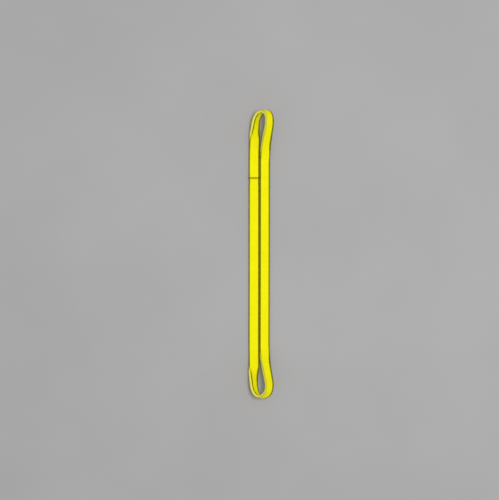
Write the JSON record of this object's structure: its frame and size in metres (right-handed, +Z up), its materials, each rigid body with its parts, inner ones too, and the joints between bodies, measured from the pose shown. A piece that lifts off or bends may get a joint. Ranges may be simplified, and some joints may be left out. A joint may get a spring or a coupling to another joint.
{
  "type": "round sling",
  "caption": "Endless soft round sling laid flat: a woven tubular sleeve over a bundle of load-bearing yarn turns, two legs side by side and an open eye at each end.",
  "frame": {"origin": "middle of the sling's footprint, on the floor that it lies on", "axes": "+Y along the legs towards the eye nearest the closing seam, +X from the leg whose inner face is up to the leg whose outer face is up, +Z up"},
  "size_m": [0.1268, 1.4456, 0.1187],
  "materials": {
    "sleeve_fabric": "woven polyester sleeve, matt with a slight sheen",
    "core_yarn": "untwisted high-tenacity polyester yarn, silky",
    "tie_tape": "thin woven tape",
    "seam_thread": "bonded sewing thread",
    "label_film": "satin coated label fabric",
    "label_edging_thread": "overlock stitching"
  },
  "bodies": {
    "lower_half": {"sleeve_left_lower": "sleeve_fabric", "sleeve_right_lower": "sleeve_fabric", "core_turn_1_left_lower": "core_yarn", "core_turn_2_left_lower": "core_yarn", "core_turn_3_left_lower": "core_yarn", "core_turn_4_left_lower": "core_yarn", "core_turn_5_left_lower": "core_yarn", "core_turn_1_right_lower": "core_yarn", "core_turn_2_right_lower": "core_yarn", "core_turn_3_right_lower": "core_yarn", "core_turn_4_right_lower": "core_yarn", "core_turn_5_right_lower": "core_yarn", "core_tie_lower": "tie_tape"},
    "upper_half": {"sleeve_left_upper": "sleeve_fabric", "sleeve_left_seam_end": "sleeve_fabric", "sleeve_right_upper": "sleeve_fabric", "core_turn_1_left_upper": "core_yarn", "core_turn_2_left_upper": "core_yarn", "core_turn_3_left_upper": "core_yarn", "core_turn_4_left_upper": "core_yarn", "core_turn_5_left_upper": "core_yarn", "core_turn_1_right_upper": "core_yarn", "core_turn_2_right_upper": "core_yarn", "core_turn_3_right_upper": "core_yarn", "core_turn_4_right_upper": "core_yarn", "core_turn_5_right_upper": "core_yarn", "core_tie_upper": "tie_tape", "closing_seam_row_1": "seam_thread", "closing_seam_row_2": "seam_thread", "label": "label_film", "label_edging": "label_edging_thread"},
    "top_eye": {"sleeve_top_eye": "sleeve_fabric", "core_turn_1_top_eye": "core_yarn", "core_turn_2_top_eye": "core_yarn", "core_turn_3_top_eye": "core_yarn", "core_turn_4_top_eye": "core_yarn", "core_turn_5_top_eye": "core_yarn"},
    "bottom_eye": {"sleeve_bottom_eye": "sleeve_fabric", "core_turn_1_bottom_eye": "core_yarn", "core_turn_2_bottom_eye": "core_yarn", "core_turn_3_bottom_eye": "core_yarn", "core_turn_4_bottom_eye": "core_yarn", "core_turn_5_bottom_eye": "core_yarn"}
  },
  "joints": [
    {"name": "mid_fold", "type": "hinge", "parent": "lower_half", "child": "upper_half", "pos_m": [0, 0.00019, 0.014], "axis": [1, 0, 0], "range_deg": [0, 90]},
    {"name": "top_eye_lift", "type": "hinge", "parent": "upper_half", "child": "top_eye", "pos_m": [0, 0.44319, 0.014], "axis": [1, 0, 0], "range_deg": [0, 90]},
    {"name": "bottom_eye_lift", "type": "hinge", "parent": "lower_half", "child": "bottom_eye", "pos_m": [0, -0.44281, 0.014], "axis": [-1, 0, 0], "range_deg": [0, 90]}
  ]
}
